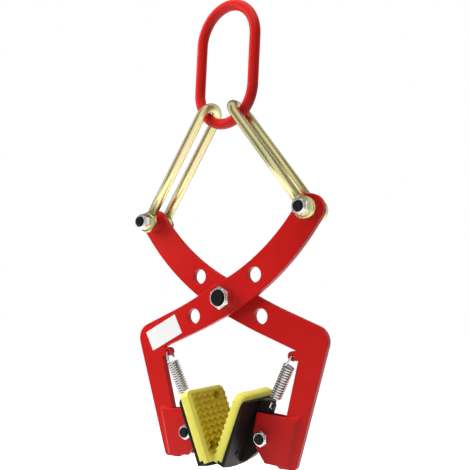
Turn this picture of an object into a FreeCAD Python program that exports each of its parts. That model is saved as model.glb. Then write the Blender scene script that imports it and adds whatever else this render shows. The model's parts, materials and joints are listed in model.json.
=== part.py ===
import FreeCAD, Part
import Sketcher
import math
import os

# Lifting tongs: two crossed plate arms on one pivot, hung from a master link by two bent rods.
# A load on the link pulls the upper ends of the arms together, and the jaws below close.
# Frame: +Z up, +X right, +Y away from the viewer. The origin is where a crane hook bears,
# on the inside of the top of the master link.

Vector = FreeCAD.Vector
Rotation = FreeCAD.Rotation
Placement = FreeCAD.Placement

# Driving dimensions, in millimetres, degrees and counts
SIZES = {
    # Master link
    "link_bar": 13,
    "link_inner_width": 74.1,
    "link_inner_length": 132.8,
    "link_lean_angle": 4.4,
    "bight_angle": 38.5,
    # Lifting rods
    "rod_bar": 12,
    "rod_spread": 31.5,
    "rod_reach": 164.1,
    "bight_clearance": 1.3,
    "eye_diameter": 25,
    "eye_width": 7,
    "spacer_diameter": 17,
    # Arms
    "plate_thickness": 8,
    "arm_gap": 1.2,
    "arm_width": 34,
    "arm_above_pivot": 19.3,
    "arm_below_pivot": 20.4,
    "arm_above_bend": 16.6,
    "arm_below_bend": 20.3,
    "arm_above_corner": 19.5,
    "arm_reach": 148,
    "arm_rise_angle": 40.5,
    "shoulder_angle": 24.5,
    "shoulder_outer": 135.2,
    "shoulder_inner": 110,
    "leg_outer_angle": 16.8,
    "leg_inner_angle": 14.4,
    "leg_drop": 188.5,
    "shoulder_round": 18,
    "inner_round": 3,
    "bend_round": 400,
    "leg_round": 5,
    "edge_round": 0.8,
    "spare_hole": 18,
    "spare_hole_pitch": 48.8,
    "spare_upper_angle": 32.3,
    "spare_lower_angle": 26.3,
    # Eye for the spring, cut with the arm
    "spring_eye_offset": 83.5,
    "spring_eye_drop": 65,
    "spring_eye_diameter": 10.6,
    "spring_hole": 5,
    # Label on the front arm
    "label_length": 50,
    "label_width": 25,
    "label_thickness": 0.3,
    "label_along": 98,
    "label_below": 1.5,
    "label_angle": 2.3,
    # Centre pivot
    "pivot_bolt": 16,
    "pivot_flats": 24,
    "pivot_nut_height": 13.5,
    "pivot_head_height": 10,
    "pivot_washer_diameter": 30,
    "pivot_washer_thickness": 3,
    "middle_washer_diameter": 32,
    # Top bolts
    "top_bolt": 10,
    "top_flats": 17,
    "top_nut_height": 12.5,
    "top_head_height": 7.5,
    # Fork plates and jaw bolts
    "jaw_bolt_offset": 48,
    "jaw_bolt_drop": 156,
    "jaw_bolt": 10,
    "jaw_flats": 16,
    "jaw_nut_height": 10,
    "jaw_head_height": 6.4,
    "fork_thickness": 4,
    "fork_nose": 13,
    "fork_rise": 27,
    "fork_drop": 30,
    "fork_weld": 3,
    # Jaws
    "jaw_tilt_angle": 21.5,
    "grip_reach": 37.2,
    "jaw_plate_thickness": 4.2,
    "jaw_plate_round": 7,
    "jaw_plate_inset": 5.5,
    "jaw_plate_bow": 4.5,
    "lip_length": 5,
    "web_thickness": 7,
    "web_peak": 39.5,
    "web_tail": 17.9,
    "web_tail_top": 14,
    "web_foot": 14.5,
    "jaw_hole_ahead": 5.6,
    "jaw_hole_above": 32,
    # Grip pads
    "pad_above": 41,
    "pad_below": 36.8,
    "pad_nose": 3.7,
    "pad_width": 75,
    "pad_thickness": 12.5,
    "pad_round": 7,
    "rib_height": 2,
    "rib_rows": 8,
    "rib_waves": 6,
    "rib_zone": 66,
    "rib_margin": 0.6,
    "rib_border": 8,
    "pad_screw": 6,
    "pad_screw_head": 11,
    "pad_screw_head_height": 3.5,
    "pad_screw_above": 29,
    "pad_screw_below": 25,
    "pad_screw_aside": 19,
    "pad_screw_sink": 1,
    # Springs
    "spring_wire": 2,
    "spring_radius": 6.1,
    "spring_turns": 15,
    "hook_radius": 5.7,
    "hook_rise": 8.5,
    "hook_bite": 1.1,
    # Fits
    "running_fit": 0.06,
    "seat_fit": 0.02,
    "side_gap": 0.3,
    "bolt_end": 2.5,
}

# Shares of a nut or a bolt head that follow its own sizes
NUT_HEX_SHARE = 0.84
COLLAR_SHARE = 0.9
INSERT_SHARE = 1.14
INSERT_DEPTH_SHARE = 0.8
CHAMFER_SHARE = 0.94
CHAMFER_SLOPE = math.sqrt(3)

doc = FreeCAD.newDocument("LiftingTongs")
sheet = doc.addObject("Spreadsheet::Sheet", "Sizes")
for row, (alias, value) in enumerate(SIZES.items(), start=1):
    sheet.set(f"A{row}", alias)
    sheet.set(f"B{row}", str(value))
    sheet.setAlias(f"B{row}", alias)
doc.recompute()


def size(alias):
    """A driving dimension, read from the sheet."""
    return float(sheet.get(alias))


def turned(length, degrees):
    """A point at a distance from the origin, at an angle up from +X in the XZ plane."""
    angle = math.radians(degrees)
    return Vector(length * math.cos(angle), 0, length * math.sin(angle))


def bound(obj, **expressions):
    """Bind an object's sizes to the sheet."""
    for prop, expression in expressions.items():
        obj.setExpression(prop, expression)
    return obj


# Places that follow from the driving dimensions, worked out from the pivot
# The two arms lie side by side, each half a plate and half a gap from the middle plane.
arm_offset = (size("plate_thickness") + size("arm_gap")) / 2
top_joint = turned(size("arm_reach"), size("arm_rise_angle"))

# The bar of the master link passes through the bights of the rods, which sit on its lower bend.
# The link is turned a little on its upright axis, because the two rods lie in two planes.
link_radius = (size("link_inner_width") + size("link_bar")) / 2
link_straight = size("link_inner_length") - size("link_inner_width")
bight_half_span = link_radius * math.sin(math.radians(size("bight_angle")))
link_lean = math.radians(size("link_lean_angle"))
link_turn = math.asin(arm_offset / (bight_half_span * math.cos(link_lean)))
bight_across = bight_half_span * math.cos(link_lean) * math.cos(link_turn)
bight_tilt = bight_half_span * math.sin(link_lean)
bar_in_bight = (size("rod_bar") + size("link_bar")) / 2 + size("bight_clearance")
bight_to_eye = size("rod_reach") - bar_in_bight

# The middle of the two bights is as far from both shifted top joints as a rod reaches.
slope_angle = math.atan2(bight_tilt, top_joint.x - bight_across)
half_base = math.hypot(top_joint.x - bight_across, bight_tilt)
height_over_base = math.sqrt(bight_to_eye ** 2 - half_base ** 2)
bight_middle = Vector(-height_over_base * math.sin(slope_angle), 0,
                      top_joint.z + height_over_base * math.cos(slope_angle))
link_axis = Vector(math.sin(link_lean) * math.cos(link_turn), -math.sin(link_lean) * math.sin(link_turn),
                   math.cos(link_lean))
lower_bend = bight_middle + link_axis * (link_radius * math.cos(math.radians(size("bight_angle"))))
hook_point = lower_bend + link_axis * (link_straight + size("link_inner_width") / 2)


def world(point, y=0):
    """A point of the pivot's frame in the part's own frame, at a given depth."""
    return Vector(point.x - hook_point.x, y - hook_point.y, point.z - hook_point.z)


# Sides: the front arm runs from the upper right to the lower left, the back arm is its mirror.
# "reach_side" is the side of the upper end, and the jaw hangs on the other side.
ARMS = {"front": {"reach_side": 1, "y": -arm_offset}, "back": {"reach_side": -1, "y": arm_offset}}
SIDE_NAMES = {1: "right", -1: "left"}


def bight_point(side):
    """The middle of the link's bar in a rod's bight."""
    return bight_middle + Vector(side * bight_across, 0, -side * bight_tilt)


def add(kind, name):
    return doc.addObject(kind, name)


def cylinder(name, radius, height, start=0):
    """A cylinder on the local Z axis, from a start height, with bound sizes."""
    solid = bound(add("Part::Cylinder", name), Radius=radius, Height=height)
    if start:
        solid.setExpression("Placement.Base.z", start)
    return solid


def cut(name, base, tool):
    result = add("Part::Cut", name)
    result.Base = base
    result.Tool = tool
    return result


def fuse(name, solids):
    result = add("Part::MultiFuse", name)
    result.Shapes = solids
    return result


def ring(name, outer, inner, height):
    """A flat ring on the local Z axis."""
    return cut(name, cylinder(name + "_outside", outer, height), cylinder(name + "_bore", inner, height))


def hexagon(name, flats, height):
    """A hexagon bar on the local Z axis, with its upper corners turned off."""
    bar = add("Part::Prism", name + "_bar")
    bar.Polygon = 6
    bound(bar, Circumradius=f"{flats} / sqrt(3)", Height=height)
    cone = add("Part::Cone", name + "_turning")
    bound(cone, Radius1=f"{flats} / 2 * {CHAMFER_SHARE} + {height} * {CHAMFER_SLOPE}",
          Radius2=f"{flats} / 2 * {CHAMFER_SHARE}", Height=height)
    common = add("Part::Common", name)
    common.Base = bar
    common.Tool = cone
    return common


NODES = []


def keep(obj, label, placement):
    """Give a finished sub-part its label and its place, and list it for export."""
    obj.Label = label
    obj.Placement = placement
    NODES.append(obj)
    return obj


TOWARDS_VIEWER = Rotation(Vector(1, 0, 0), 90)
# A nut is turned so that a corner points up.
NUT_TURN_ANGLE = 30
CORNER_UP = TOWARDS_VIEWER.multiply(Rotation(Vector(0, 0, 1), NUT_TURN_ANGLE))


def bolt(label, kind, length, seat):
    """A hexagon bolt with its head away from the viewer, seated at a point, its shank towards the viewer."""
    head = hexagon(label + "_head", f"Sizes.{kind}_flats", f"Sizes.{kind}_head_height")
    head.Placement = Placement(Vector(0, 0, 0), Rotation(Vector(1, 0, 0), 180))
    shank = cylinder(label + "_shank", f"Sizes.{kind}_bolt / 2", length)
    keep(fuse(label + "_solid", [head, shank]), label, Placement(seat, TOWARDS_VIEWER))


def lock_nut(label, kind, seat):
    """A lock nut with a round collar that holds a nylon ring, seated at a point."""
    height = f"Sizes.{kind}_nut_height"
    hex_height = f"{height} * {NUT_HEX_SHARE}"
    flats = f"Sizes.{kind}_flats"
    bore = f"Sizes.{kind}_bolt / 2 + Sizes.seat_fit"
    insert = f"Sizes.{kind}_bolt / 2 * {INSERT_SHARE}"
    collar_height = f"{height} * {1 - NUT_HEX_SHARE}"
    insert_height = f"{collar_height} * {INSERT_DEPTH_SHARE}"
    body = fuse(label + "_body", [hexagon(label + "_hex", flats, hex_height),
                                  cylinder(label + "_collar", f"{flats} / 2 * {COLLAR_SHARE}", height)])
    recess_start = f"{height} - {insert_height}"
    hollow = fuse(label + "_hollow", [cylinder(label + "_bore", bore, height),
                                      cylinder(label + "_recess", insert, insert_height, recess_start)])
    keep(cut(label + "_solid", body, hollow), label, Placement(seat, CORNER_UP))
    nylon = ring(label + "_nylon", insert, bore, insert_height)
    depth = size(f"{kind}_nut_height") * (1 - (1 - NUT_HEX_SHARE) * INSERT_DEPTH_SHARE)
    keep(nylon, label.replace("nut", "nut_insert"), Placement(seat - Vector(0, depth, 0), TOWARDS_VIEWER))


# Outlines: straight runs with tangent arcs at the corners
def rounded(points, radii):
    """Lines through the points, with an arc of the given radius at each inner point."""
    segments = []
    start = points[0]
    for before, corner, after, radius in zip(points, points[1:], points[2:], radii):
        inward = (before - corner).normalize()
        outward = (after - corner).normalize()
        half = inward.getAngle(outward) / 2
        setback = radius / math.tan(half)
        first = corner + inward * setback
        last = corner + outward * setback
        bisector = (inward + outward).normalize()
        middle = corner + bisector * (radius / math.sin(half) - radius)
        segments.append(Part.LineSegment(start, first))
        segments.append(Part.Arc(first, middle, last))
        start = last
    segments.append(Part.LineSegment(start, points[-1]))
    return segments


def closed_polygon(points):
    return [Part.LineSegment(a, b) for a, b in zip(points, points[1:] + points[:1])]


def flat(point):
    """A point of the XZ plane in a sketch on that plane."""
    return Vector(point.x, point.z, 0)


def new_body(name):
    return add("PartDesign::Body", name)


def new_sketch(body, name, plane, geometry, offset=0):
    """A sketch on one of the body's own planes, moved along the plane's normal."""
    sketch = body.newObject("Sketcher::SketchObject", name)
    origin = [feature for feature in body.Origin.OriginFeatures if feature.Role == plane][0]
    sketch.AttachmentSupport = [(origin, "")]
    sketch.MapMode = "FlatFace"
    sketch.AttachmentOffset = Placement(Vector(0, 0, offset), Rotation())
    sketch.addGeometry(geometry, False)
    return sketch


def add_hole(sketch, centre, diameter):
    """A round hole in a sketch, with its diameter bound to the sheet."""
    radius = 1
    index = sketch.addGeometry(Part.Circle(centre, Vector(0, 0, 1), radius), False)
    number = sketch.addConstraint(Sketcher.Constraint("Diameter", index, 2 * radius))
    sketch.setExpression(f"Constraints[{number}]", diameter)
    for axis, value in ((1, centre.x), (2, centre.y)):
        kind = "DistanceX" if axis == 1 else "DistanceY"
        sketch.addConstraint(Sketcher.Constraint(kind, -1, 1, index, 3, value))


def new_pad(body, name, sketch, length, symmetric=False, backwards=False):
    pad = body.newObject("PartDesign::Pad", name)
    pad.Profile = sketch
    pad.Midplane = symmetric
    pad.Reversed = backwards
    pad.setExpression("Length", length)
    return pad


def flat_edges(shape, axis):
    """Names of the edges that lie in planes square to an axis."""
    names = []
    for number, edge in enumerate(shape.Edges, start=1):
        box = edge.BoundBox
        if {"x": box.XLength, "y": box.YLength}[axis] < Part.Precision.confusion():
            names.append(f"Edge{number}")
    return names


def round_edges(body, name, base, edges, radius):
    fillet = body.newObject("PartDesign::Fillet", name)
    fillet.Base = (base, edges)
    fillet.setExpression("Radius", radius)
    body.Tip = fillet
    return fillet


def upper_corners(shape, length):
    """Names of the edges of a given length along X, at the upper corners of a jaw's plate or pad."""
    names = []
    for number, edge in enumerate(shape.Edges, start=1):
        middle = edge.CenterOfMass
        across = abs(edge.BoundBox.XLength - length) < Part.Precision.confusion()
        at_side = abs(abs(middle.y) - size("pad_width") / 2) < Part.Precision.confusion()
        if across and at_side and middle.z > 0:
            names.append(f"Edge{number}")
    return names


def mirrored(points, side):
    return [Vector(side * point.x, point.y, point.z) for point in points]


# Master link: one round bar bent to an oblong
def make_master_link():
    body = new_body("MasterLink")
    radius = link_radius
    half = link_straight / 2
    upper = [Vector(radius, half, 0), Vector(0, half + radius, 0), Vector(-radius, half, 0)]
    lower = [Vector(-radius, -half, 0), Vector(0, -half - radius, 0), Vector(radius, -half, 0)]
    path = [Part.LineSegment(Vector(radius, 0, 0), upper[0]), Part.Arc(*upper),
            Part.LineSegment(upper[2], lower[0]), Part.Arc(*lower),
            Part.LineSegment(lower[2], Vector(radius, 0, 0))]
    spine = new_sketch(body, "LinkSpine", "XZ_Plane", path)
    profile = new_sketch(body, "LinkProfile", "XY_Plane", [])
    add_hole(profile, Vector(radius, 0, 0), "Sizes.link_bar")
    pipe = body.newObject("PartDesign::AdditivePipe", "LinkBar")
    pipe.Profile = profile
    pipe.Spine = spine
    lean = Rotation(Vector(0, 1, 0), size("link_lean_angle"))
    turn = Rotation(Vector(0, 0, 1), -math.degrees(link_turn))
    middle = lower_bend + link_axis * (link_straight / 2)
    keep(body, "master_link", Placement(world(middle, middle.y), turn.multiply(lean)))


# Lifting rods: a bent bar with an eye welded on each end, hung on the link by its bight
# The bar starts this share of the eye's radius from the bolt.
WELD_SHARE = 0.9


def make_lifting_rod(side):
    name = SIDE_NAMES[side]
    y = -arm_offset * side
    joint = Vector(side * top_joint.x, 0, top_joint.z)
    bight = bight_point(side)
    lean = math.degrees(math.atan2(bight.x - joint.x, bight.z - joint.z))
    place = Placement(world(joint, y), Rotation(Vector(0, 1, 0), lean))
    bend_height = "(Sizes.rod_reach - Sizes.rod_spread / 2)"
    leg_start = f"Sizes.eye_diameter / 2 * {WELD_SHARE}"
    pieces = []
    for end, sign in (("near", -1), ("far", 1)):
        leg = cylinder(f"rod_{name}_{end}_leg", "Sizes.rod_bar / 2", f"{bend_height} - {leg_start}", leg_start)
        leg.setExpression("Placement.Base.y", f"{sign} * Sizes.rod_spread / 2")
        eye = cylinder(f"rod_{name}_{end}_eye", "Sizes.eye_diameter / 2", "Sizes.eye_width")
        eye.Placement.Rotation = TOWARDS_VIEWER
        eye.setExpression("Placement.Base.y", f"{sign} * Sizes.rod_spread / 2 + Sizes.eye_width / 2")
        pieces += [leg, eye]
    bend = bound(add("Part::Torus", f"rod_{name}_bend"), Radius1="Sizes.rod_spread / 2",
                 Radius2="Sizes.rod_bar / 2")
    bend.Angle3 = 180
    bend.Placement.Rotation = Rotation(Vector(0, 1, 0), Vector(0, 0, 1), Vector(1, 0, 0), "XYZ")
    bend.setExpression("Placement.Base.z", bend_height)
    pieces.append(bend)
    bore = cylinder(f"rod_{name}_bore", "Sizes.top_bolt / 2 + Sizes.seat_fit",
                    "Sizes.rod_spread + Sizes.rod_bar + Sizes.eye_width")
    bore.Placement.Rotation = TOWARDS_VIEWER
    bore.setExpression("Placement.Base.y", "(Sizes.rod_spread + Sizes.rod_bar + Sizes.eye_width) / 2")
    keep(cut(f"rod_{name}_solid", fuse(f"rod_{name}_bar", pieces), bore), f"lifting_rod_{name}", place)

    # Spacers keep the eyes clear of the arm.
    spacer_length = "(Sizes.rod_spread - Sizes.eye_width - Sizes.plate_thickness) / 2 - Sizes.side_gap"
    spacers = []
    for end, seat in (("near", "-(Sizes.plate_thickness / 2 + Sizes.side_gap)"),
                      ("far", "(Sizes.rod_spread - Sizes.eye_width) / 2")):
        spacer = ring(f"spacer_{name}_{end}", "Sizes.spacer_diameter / 2",
                      "Sizes.top_bolt / 2 + Sizes.seat_fit", spacer_length)
        spacer.Placement.Rotation = TOWARDS_VIEWER
        spacer.setExpression("Placement.Base.y", seat)
        spacers.append(spacer)
    keep(fuse(f"spacers_{name}", spacers), f"rod_spacers_{name}", Placement(world(joint, y), Rotation()))

    half_stack = (size("rod_spread") + size("eye_width")) / 2
    shank = "Sizes.rod_spread + Sizes.eye_width + Sizes.top_nut_height + Sizes.bolt_end"
    bolt(f"top_bolt_{name}", "top", shank, world(joint, y + half_stack))
    lock_nut(f"top_nut_{name}", "top", world(joint, y - half_stack))


# Arms: one plate each, curved above the pivot, nearly straight across the shoulder, with a leg below
# An arm is widest at the pivot. Its edges bend at a share of the way from there to the corners.
SHOULDER_BEND_SHARE = 0.42
# At the middle of its curve an arm keeps these shares of what it gains at the pivot.
GAIN_ABOVE_SHARE = 0.5
GAIN_BELOW_SHARE = 0.2


def arm_outline(side):
    """The outline of an arm, in the XZ plane, about the pivot."""
    half = size("arm_width") / 2
    slope = size("shoulder_angle")
    along = turned(1, slope)
    across = turned(1, slope + 90)
    turn = 2 * (size("arm_rise_angle") - slope)
    radius = size("arm_reach") / (2 * math.sin(math.radians(turn / 2)))
    centre = across * radius

    def on_curve(share, offset):
        return centre - turned(radius - offset, slope + share * turn + 90)

    tip_across = turned(1, slope + turn + 90)
    tip_along = turned(1, slope + turn)
    curve_middle_share = 0.5
    above = size("arm_above_pivot")
    below = size("arm_below_pivot")
    middle_above = half + GAIN_ABOVE_SHARE * (above - half)
    middle_below = half + GAIN_BELOW_SHARE * (below - half)
    inner = [across * above, on_curve(curve_middle_share, middle_above), top_joint + tip_across * half]
    outer = [top_joint - tip_across * half, on_curve(curve_middle_share, -middle_below), across * -below]
    cap = [inner[2], top_joint + tip_along * half, outer[0]]

    inner_corner = along * -size("shoulder_inner") - across * half
    outer_corner = along * -size("shoulder_outer") + across * size("arm_above_corner")
    inner_bend = along * (-size("shoulder_inner") * SHOULDER_BEND_SHARE) - across * size("arm_below_bend")
    outer_bend = along * (-size("shoulder_outer") * SHOULDER_BEND_SHARE) + across * size("arm_above_bend")
    foot = -size("leg_drop")

    def leg_line(corner, lean):
        return Vector(corner.x + (corner.z - foot) * math.tan(math.radians(lean)), 0, foot)

    inner_foot = leg_line(inner_corner, size("leg_inner_angle"))
    outer_foot = leg_line(outer_corner, size("leg_outer_angle"))
    lower = [outer[2], inner_bend, inner_corner, inner_foot, outer_foot, outer_corner, outer_bend, inner[0]]
    radii = [size("bend_round"), size("inner_round"), size("leg_round"), size("leg_round"),
             size("shoulder_round"), size("bend_round")]
    lower = [flat(point) for point in mirrored(lower, side)]
    inner, outer, cap = ([flat(point) for point in mirrored(arc, side)] for arc in (inner, outer, cap))
    segments = [Part.Arc(*inner), Part.Arc(*cap), Part.Arc(*outer)] + rounded(lower, radii)
    leg = {"inner_corner": inner_corner, "outer_corner": outer_corner, "inner_foot": inner_foot,
           "outer_foot": outer_foot}
    return segments, leg


def make_arm(name):
    side = ARMS[name]["reach_side"]
    outline, leg = arm_outline(side)
    body = new_body(f"Arm_{name}")
    sketch = new_sketch(body, f"arm_{name}_outline", "XZ_Plane", outline)
    upper_spare = turned(size("spare_hole_pitch"), size("spare_upper_angle"))
    lower_spare = turned(-size("spare_hole_pitch"), size("spare_lower_angle"))
    bush_hole = "Sizes.spare_hole + 2 * Sizes.running_fit"
    holes = ((Vector(), bush_hole), (upper_spare, "Sizes.spare_hole"), (lower_spare, "Sizes.spare_hole"),
             (top_joint, "Sizes.top_bolt + 2 * Sizes.running_fit"))
    for centre, diameter in holes:
        add_hole(sketch, flat(mirrored([centre], side)[0]), diameter)
    plate = new_pad(body, f"arm_{name}_plate", sketch, "Sizes.plate_thickness")
    doc.recompute()
    round_edges(body, f"arm_{name}_rounds", plate, flat_edges(plate.Shape, "y"), "Sizes.edge_round")

    # The eye stands on the inner edge of the leg, at its upper end.
    eye = Vector(-side * size("spring_eye_offset"), -size("spring_eye_drop"), 0)
    radius = size("spring_eye_diameter") / 2
    root = Vector(-side * (-leg["inner_corner"].x + radius), eye.y, 0)
    up = Vector(0, radius, 0)
    out = Vector(side * radius, 0, 0)
    stem = [Part.LineSegment(root + up, eye + up), Part.Arc(eye + up, eye + out, eye - up),
            Part.LineSegment(eye - up, root - up), Part.LineSegment(root - up, root + up)]
    eye_sketch = new_sketch(body, f"arm_{name}_eye_outline", "XZ_Plane", stem)
    add_hole(eye_sketch, eye, "Sizes.spring_hole")
    body.Tip = new_pad(body, f"arm_{name}_eye", eye_sketch, "Sizes.plate_thickness")
    y = ARMS[name]["y"] + size("plate_thickness") / 2
    keep(body, f"arm_{name}", Placement(world(Vector(), y), Rotation()))


# Label: a thin blank plate on the shoulder of the front arm
def make_label():
    label = bound(add("Part::Box", "LabelPlate"), Length="Sizes.label_length", Width="Sizes.label_thickness",
                  Height="Sizes.label_width")
    slope = size("shoulder_angle")
    middle = turned(-size("label_along"), slope) - turned(size("label_below"), slope + 90)
    turn = slope + size("label_angle")
    corner = middle - turned(size("label_length") / 2, turn) - turned(size("label_width") / 2, turn + 90)
    y = -arm_offset - size("plate_thickness") / 2 - size("label_thickness")
    keep(label, "label_plate", Placement(world(corner, y), Rotation(Vector(0, 1, 0), -turn)))


# Centre pivot: the arms turn on a bush over the bolt
def make_pivot():
    outer_face = arm_offset + size("plate_thickness") / 2
    bush = ring("bush", "Sizes.spare_hole / 2", "Sizes.pivot_bolt / 2 + Sizes.seat_fit",
                "2 * Sizes.plate_thickness + Sizes.arm_gap")
    keep(bush, "pivot_bush", Placement(world(Vector(), outer_face), TOWARDS_VIEWER))
    middle = ring("between_arms", "Sizes.middle_washer_diameter / 2", "Sizes.spare_hole / 2 + Sizes.seat_fit",
                  "Sizes.arm_gap - Sizes.side_gap")
    middle_seat = -size("arm_gap") / 2 + size("arm_gap") - size("side_gap")
    keep(middle, "pivot_middle_washer", Placement(world(Vector(), middle_seat), TOWARDS_VIEWER))
    rear = ring("under_head", "Sizes.pivot_washer_diameter / 2", "Sizes.pivot_bolt / 2 + Sizes.seat_fit",
                "Sizes.pivot_washer_thickness")
    washer_back = outer_face + size("side_gap") + size("pivot_washer_thickness")
    keep(rear, "pivot_rear_washer", Placement(world(Vector(), washer_back), TOWARDS_VIEWER))
    length = ("2 * Sizes.plate_thickness + Sizes.arm_gap + Sizes.side_gap + Sizes.pivot_washer_thickness"
              " + Sizes.pivot_nut_height + Sizes.bolt_end")
    bolt("pivot_bolt", "pivot", length, world(Vector(), washer_back))
    lock_nut("pivot_nut", "pivot", world(Vector(), -outer_face))


# Fork plates: welded on both faces of the leg, they carry the jaw's bolt
NOSE_SHARES = ((-0.65, 1.0), (-1.0, 0.2), (-0.74, -0.42), (0.08, -0.93))
COVER_TOP_SHARE = 0.6
COVER_FOOT_SHARE = 0.7
COVER_RISE_SHARE = 0.84


def make_fork(name):
    reach_side = ARMS[name]["reach_side"]
    side = -reach_side
    leg = arm_outline(1)[1]
    centre = Vector(size("jaw_bolt_offset"), 0, -size("jaw_bolt_drop"))

    def leg_point(share, z):
        """A point at a share of the leg's width from its inner edge, on the right side."""
        drop = (leg["inner_corner"].z - z) / (leg["inner_corner"].z - leg["inner_foot"].z)
        inner = leg["inner_corner"] + (leg["inner_foot"] - leg["inner_corner"]) * drop
        drop = (leg["outer_corner"].z - z) / (leg["outer_corner"].z - leg["outer_foot"].z)
        outer = leg["outer_corner"] + (leg["outer_foot"] - leg["outer_corner"]) * drop
        across = inner + (outer - inner) * share
        return Vector(-across.x, 0, z)

    nose = []
    for across_share, up_share in NOSE_SHARES:
        up = size("fork_rise") if up_share > 0 else size("fork_drop")
        nose.append(centre + Vector(across_share * size("fork_nose"), 0, up_share * up))
    foot = leg_point(COVER_FOOT_SHARE, centre.z - size("fork_drop"))
    top = leg_point(COVER_TOP_SHARE, centre.z + size("fork_rise") * COVER_RISE_SHARE)
    outline = [flat(point) for point in mirrored(nose + [foot, top], side)]
    mid_y = ARMS[name]["y"]
    half = size("plate_thickness") / 2
    for end, start, backwards in (("front", mid_y - half, False), ("rear", mid_y + half, True)):
        label = f"fork_plate_{SIDE_NAMES[side]}_{end}"
        body = new_body(label + "_body")
        sketch = new_sketch(body, label + "_outline", "XZ_Plane", closed_polygon(outline))
        add_hole(sketch, flat(mirrored([centre], side)[0]), "Sizes.jaw_bolt + 2 * Sizes.seat_fit")
        plate = new_pad(body, label + "_plate", sketch, "Sizes.fork_thickness", backwards=backwards)
        doc.recompute()
        outer_y = size("fork_thickness") * (1 if backwards else -1)
        weld_middle = (foot + top) * 0.5
        weld_middle = Vector(side * weld_middle.x, outer_y, weld_middle.z)
        number = min(range(len(plate.Shape.Edges)),
                     key=lambda index: (plate.Shape.Edges[index].CenterOfMass - weld_middle).Length)
        weld = body.newObject("PartDesign::Chamfer", label + "_weld")
        weld.Base = (plate, [f"Edge{number + 1}"])
        weld.setExpression("Size", "Sizes.fork_weld")
        body.Tip = weld
        keep(body, label, Placement(world(Vector(), start), Rotation()))

    bolt_place = Vector(side * centre.x, 0, centre.z)
    half_stack = half + size("fork_thickness")
    shank = ("Sizes.plate_thickness + 2 * Sizes.fork_thickness + Sizes.jaw_nut_height + Sizes.bolt_end")
    bolt(f"jaw_bolt_{SIDE_NAMES[side]}", "jaw", shank, world(bolt_place, mid_y + half_stack))
    lock_nut(f"jaw_nut_{SIDE_NAMES[side]}", "jaw", world(bolt_place, mid_y - half_stack))


# Jaws: a web that turns in the fork, a backing plate with a lip, and a ribbed pad
# Local frame of a jaw: origin on its bolt, +X away from the grip on the right side, +Z along the face.
# Corners of the web: shares of the bolt's distance to the plate and of the pad's reach above the bolt.
WEB_FOOT_SHARES = ((0.85, -0.97), (0.64, -0.89), (0.35, -0.63))
# Corners of its upper rear edge: shares of the bolt's distance to the plate and of the web's peak.
WEB_PEAK_SHARES = ((0.09, 0.68), (0.09, 0.92), (0.2, 1.0), (0.42, 1.0))
# The lower rear corner: shares of the tail and of the web's foot.
TAIL_FOOT_SHARES = (0.7, -0.7)


def jaw_place(name):
    side = -ARMS[name]["reach_side"]
    centre = Vector(side * size("jaw_bolt_offset"), 0, -size("jaw_bolt_drop"))
    return Placement(world(centre, ARMS[name]["y"]), Rotation(Vector(0, 1, 0), side * size("jaw_tilt_angle")))


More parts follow.
